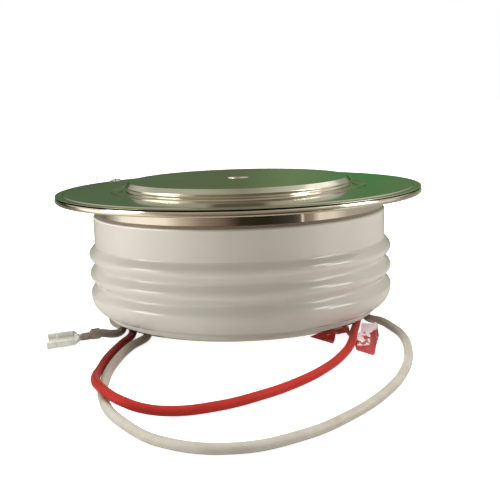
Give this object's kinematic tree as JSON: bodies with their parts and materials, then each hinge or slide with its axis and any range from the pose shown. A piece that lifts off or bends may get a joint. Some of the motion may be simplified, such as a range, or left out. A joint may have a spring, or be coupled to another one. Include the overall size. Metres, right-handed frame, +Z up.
{
  "type": "capsule disc thyristor",
  "caption": "Press-pack disc thyristor: ribbed ceramic ring between plated pole pieces, wide weld flange, gate and cathode leads.",
  "frame": {"origin": "centre of the lower pole face, which stands on the floor", "axes": "+Z up along the pole axis, from the anode pole to the cathode pole; the leads loop out towards -Y and leave the case towards -X and +Y"},
  "size_m": [0.0724, 0.1107, 0.028],
  "materials": {
    "nickel_pole": "polished nickel plate on copper",
    "nickel_sheet": "polished nickel plate on thin sheet",
    "glazed_white": "glossy white glaze",
    "molybdenum": "fine turned",
    "silver_foil": "satin",
    "silicon": "polished",
    "silicone_rubber": "soft white",
    "ptfe": "waxy white",
    "gold_contact": "plated",
    "spring_steel": "drawn wire",
    "red_sleeve": "shrunk sleeve",
    "white_insulation": "smooth extruded",
    "red_insulation": "smooth extruded",
    "tinned_brass": "bright tin plate",
    "red_film": "thin film"
  },
  "bodies": {
    "root": {"upper_pole_piece": "nickel_pole", "upper_cap_flange": "nickel_sheet", "lower_weld_flange": "nickel_sheet", "ceramic_housing": "glazed_white", "lower_seal_ring": "nickel_sheet", "lower_pole_piece": "nickel_pole", "anode_silver_shim": "silver_foil", "anode_molybdenum_disc": "molybdenum", "silicon_wafer": "silicon", "wafer_edge_seal": "silicone_rubber", "cathode_molybdenum_disc": "molybdenum", "cathode_silver_shim": "silver_foil", "centring_ring": "ptfe", "gate_contact": "gold_contact", "gate_spring": "spring_steel", "gate_insulator_cup": "ptfe", "inner_gate_lead": "silver_foil", "inner_lead_sleeve": "ptfe", "gate_tube": "nickel_sheet", "gate_joint_sleeve": "ptfe", "cathode_tab": "nickel_sheet", "cathode_joint_sleeve": "red_sleeve", "gate_lead": "white_insulation", "cathode_lead": "red_insulation", "gate_terminal": "tinned_brass", "cathode_terminal": "tinned_brass", "lead_tag": "red_film"}
  },
  "joints": []
}
